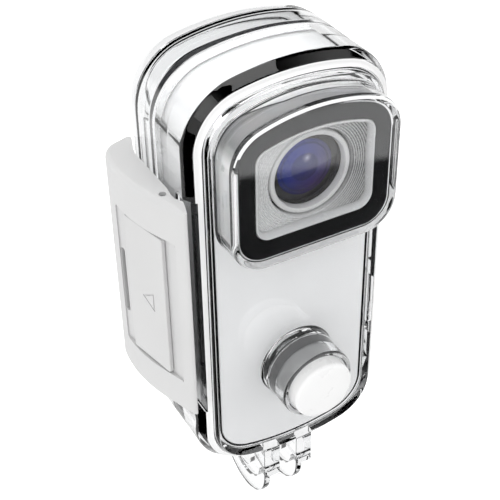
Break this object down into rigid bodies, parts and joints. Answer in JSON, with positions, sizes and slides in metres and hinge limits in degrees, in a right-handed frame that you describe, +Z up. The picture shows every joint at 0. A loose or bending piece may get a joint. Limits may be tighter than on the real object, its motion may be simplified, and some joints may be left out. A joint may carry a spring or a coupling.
{
  "type": "action camera in dive housing",
  "caption": "Pill-shaped action camera in a clear waterproof housing with side latch, push button, hinged rear door and a two-finger mount.",
  "frame": {"origin": "centre of the bolt hole through the two mount fingers", "axes": "+X across the camera, along the bolt hole; -Y is the way the lens looks; +Z up along the housing"},
  "size_m": [0.0417, 0.031, 0.0854],
  "materials": {
    "clear_plastic": "crystal clear moulded plastic, polished",
    "white_gloss": "smooth white moulded plastic",
    "white_satin": "fine satin white plastic",
    "black_gloss": "polished black plastic",
    "black_satin": "satin black plastic",
    "gasket_silicone": "dark grey silicone",
    "seal_rubber": "black nitrile",
    "stainless": "stainless steel",
    "bright_trim": "bright anodised",
    "silver_ring": "satin chrome",
    "lens_glass": "coated optical glass",
    "board_green": "solder-masked board",
    "battery_foil": "battery pouch foil",
    "sensor_dark": "sensor cover glass over silicon",
    "magnet_nickel": "nickel plated",
    "gold_tone": "metal can"
  },
  "bodies": {
    "housing": {"front_shell": "clear_plastic", "door_hinge_pin": "stainless", "latch_pin": "stainless", "camera_front_panel": "white_gloss", "camera_frame": "black_gloss", "camera_rear_cover": "white_satin", "record_switch": "black_satin", "lens_housing": "white_gloss", "lens_panel": "black_gloss", "lens_trim": "bright_trim", "lens_baffle": "bright_trim", "lens_ring": "silver_ring", "lens_barrel": "black_satin", "front_lens_element": "lens_glass", "rear_lens_elements": "lens_glass", "image_sensor": "sensor_dark", "sensor_board": "board_green", "heat_spreader": "bright_trim", "main_board": "board_green", "battery": "battery_foil", "speaker": "black_satin", "microphone": "gold_tone", "usb_socket": "stainless", "card_socket": "stainless", "memory_card": "black_satin", "frame_screws": "stainless", "holding_magnets": "magnet_nickel"},
    "door": {"rear_door": "clear_plastic", "door_gasket": "gasket_silicone"},
    "latch": {"latch_lever": "white_gloss"},
    "lock": {"lock_slider": "white_gloss"},
    "push_button": {"button_cap": "white_gloss", "button_shaft": "stainless", "button_o_rings": "seal_rubber", "button_circlip": "stainless", "button_spring": "stainless"},
    "camera_button": {"record_button": "white_gloss"}
  },
  "joints": [
    {"name": "latch_pivot", "type": "hinge", "parent": "housing", "child": "latch", "pos_m": [-0.0179, -0.0034, 0.0411], "axis": [0, 0, 1], "range_deg": [0, 20]},
    {"name": "door_hinge", "type": "hinge", "parent": "housing", "child": "door", "pos_m": [0.0186, 0.0015, 0.0422], "axis": [0, 0, -1], "range_deg": [0, 98]},
    {"name": "lock_slide", "type": "slide", "parent": "latch", "child": "lock", "axis": [-0.2064, 0.9785, 0], "range_m": [0, 0.002]},
    {"name": "button_press", "type": "slide", "parent": "housing", "child": "push_button", "axis": [0, 1, 0], "range_m": [0, 0.0008], "stiffness_N_per_m": 600, "springref_m": -0.001, "deforming": ["button_spring"]},
    {"name": "record_press", "type": "slide", "parent": "housing", "child": "camera_button", "axis": [0, 1, 0], "range_m": [0, 0.0006], "stiffness_N_per_m": 120, "springref_m": -0.0005}
  ],
  "couplings": [
    {"joint": "door_hinge", "follows": "latch_pivot", "ratio": 4.9},
    {"joint": "record_press", "follows": "button_press", "ratio": 0.75}
  ]
}
